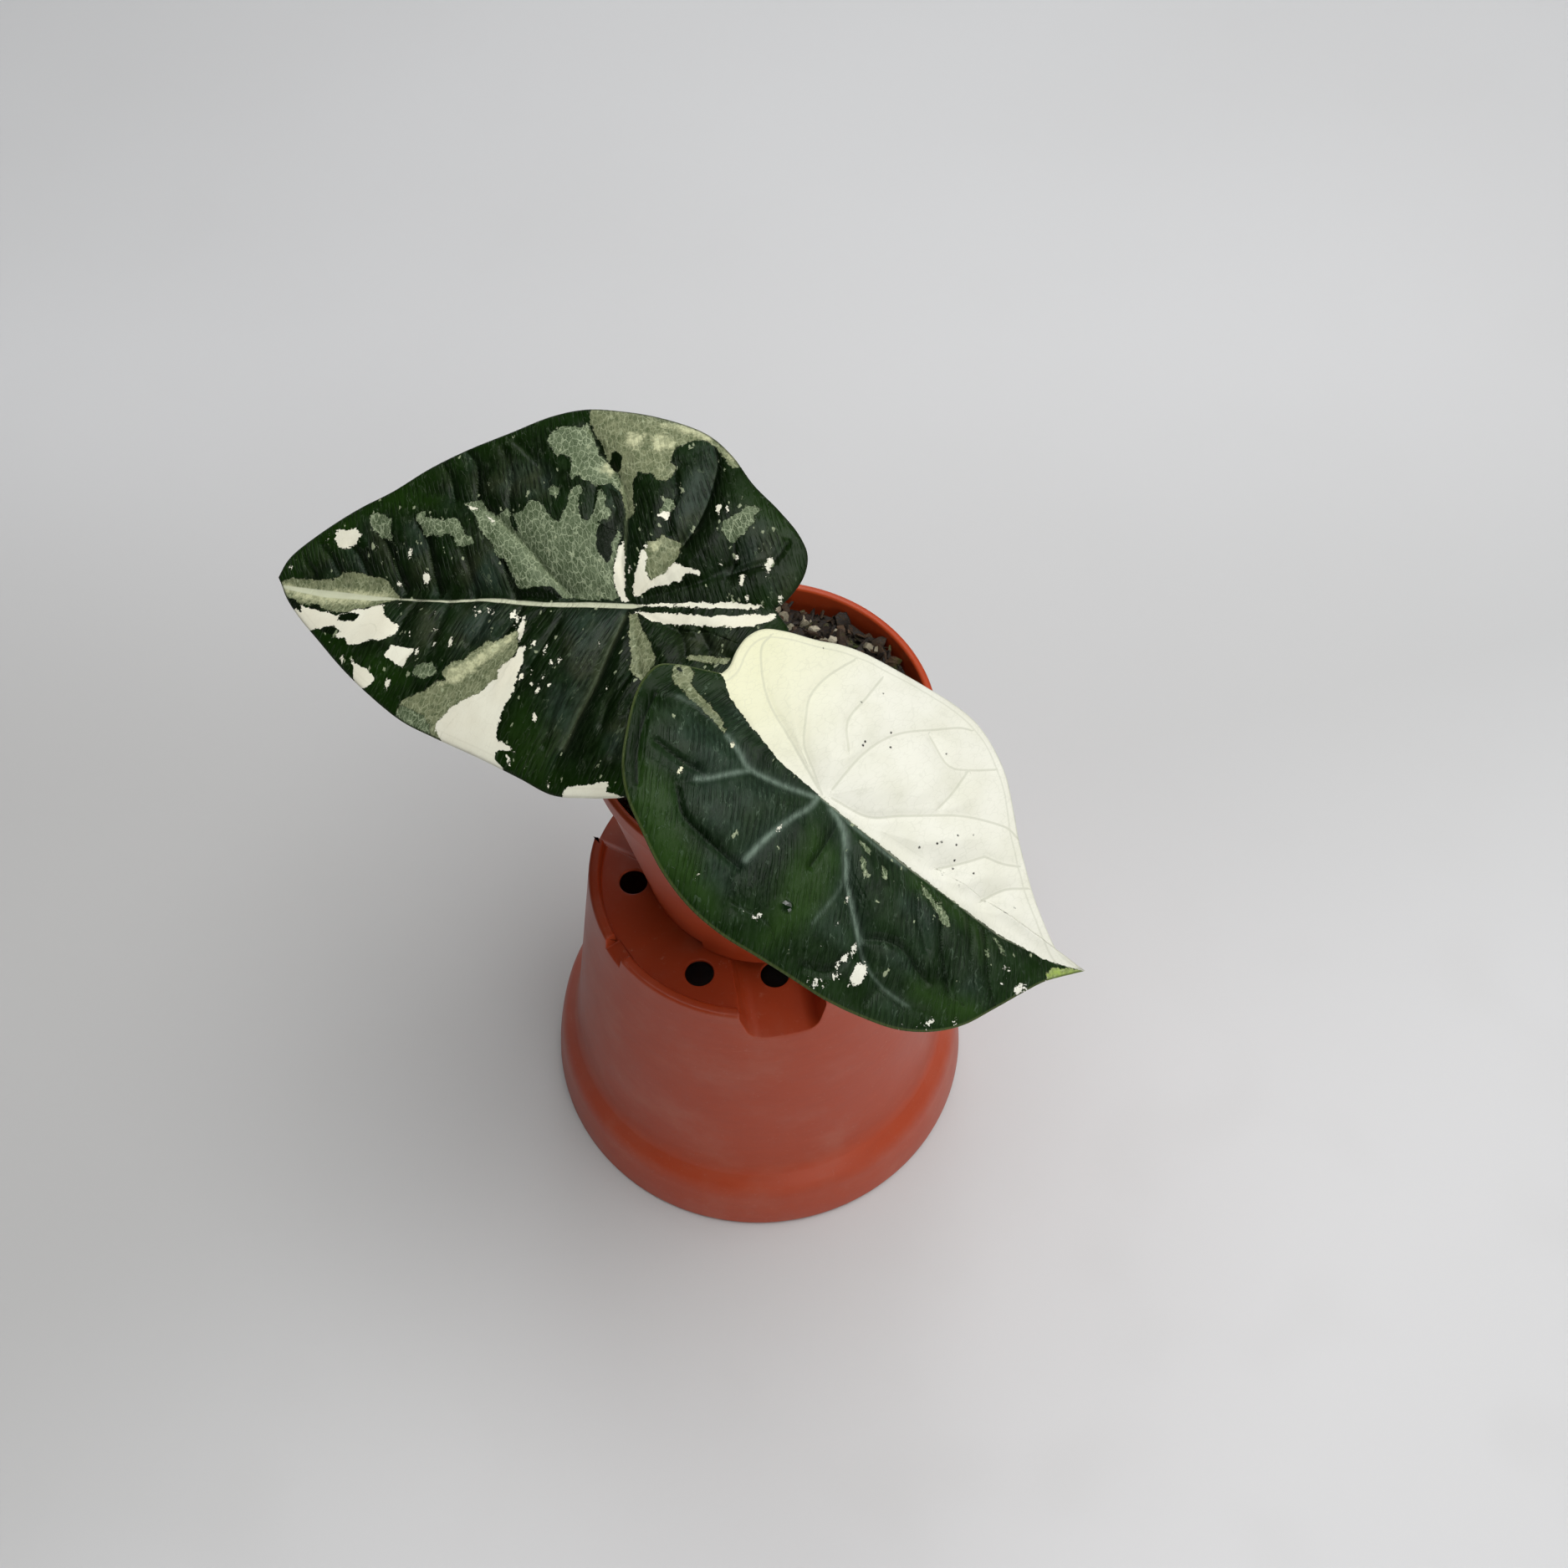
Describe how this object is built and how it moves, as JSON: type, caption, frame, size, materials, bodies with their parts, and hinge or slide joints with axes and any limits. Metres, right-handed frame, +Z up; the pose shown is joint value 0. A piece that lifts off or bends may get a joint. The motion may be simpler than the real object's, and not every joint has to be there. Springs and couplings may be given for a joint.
{
  "type": "potted alocasia",
  "caption": "Young variegated alocasia with a marbled and a half-white leaf in a nursery pot, standing on a larger upturned nursery pot.",
  "frame": {"origin": "on the floor, at the middle of the whole plant's bounding box seen from above", "axes": "+Z up; -Y towards the side from which both leaves show; +X towards the half-white leaf's tip side"},
  "size_m": [0.1706, 0.1534, 0.2368],
  "materials": {
    "terracotta_plastic": "moulded terracotta-coloured plastic, satin, lightly scuffed on its edges",
    "potting_mix": "damp dark bark and fibre mix with pale pumice grains and a little moss",
    "stem_tissue": "smooth pale green leaf stalk and short scarred stem",
    "marbled_leaf": "thick quilted satin leaf, dark green marbled with mint, pale green and white",
    "half_moon_leaf": "thick quilted satin leaf, one half cream white and the other dark green with silver veins"
  },
  "bodies": {
    "root": {"stand_pot": "terracotta_plastic", "growing_pot": "terracotta_plastic", "potting_mix": "potting_mix", "rootstock": "stem_tissue", "petiole_left": "stem_tissue", "petiole_right": "stem_tissue", "leaf_left": "marbled_leaf", "leaf_right": "half_moon_leaf"}
  },
  "joints": []
}
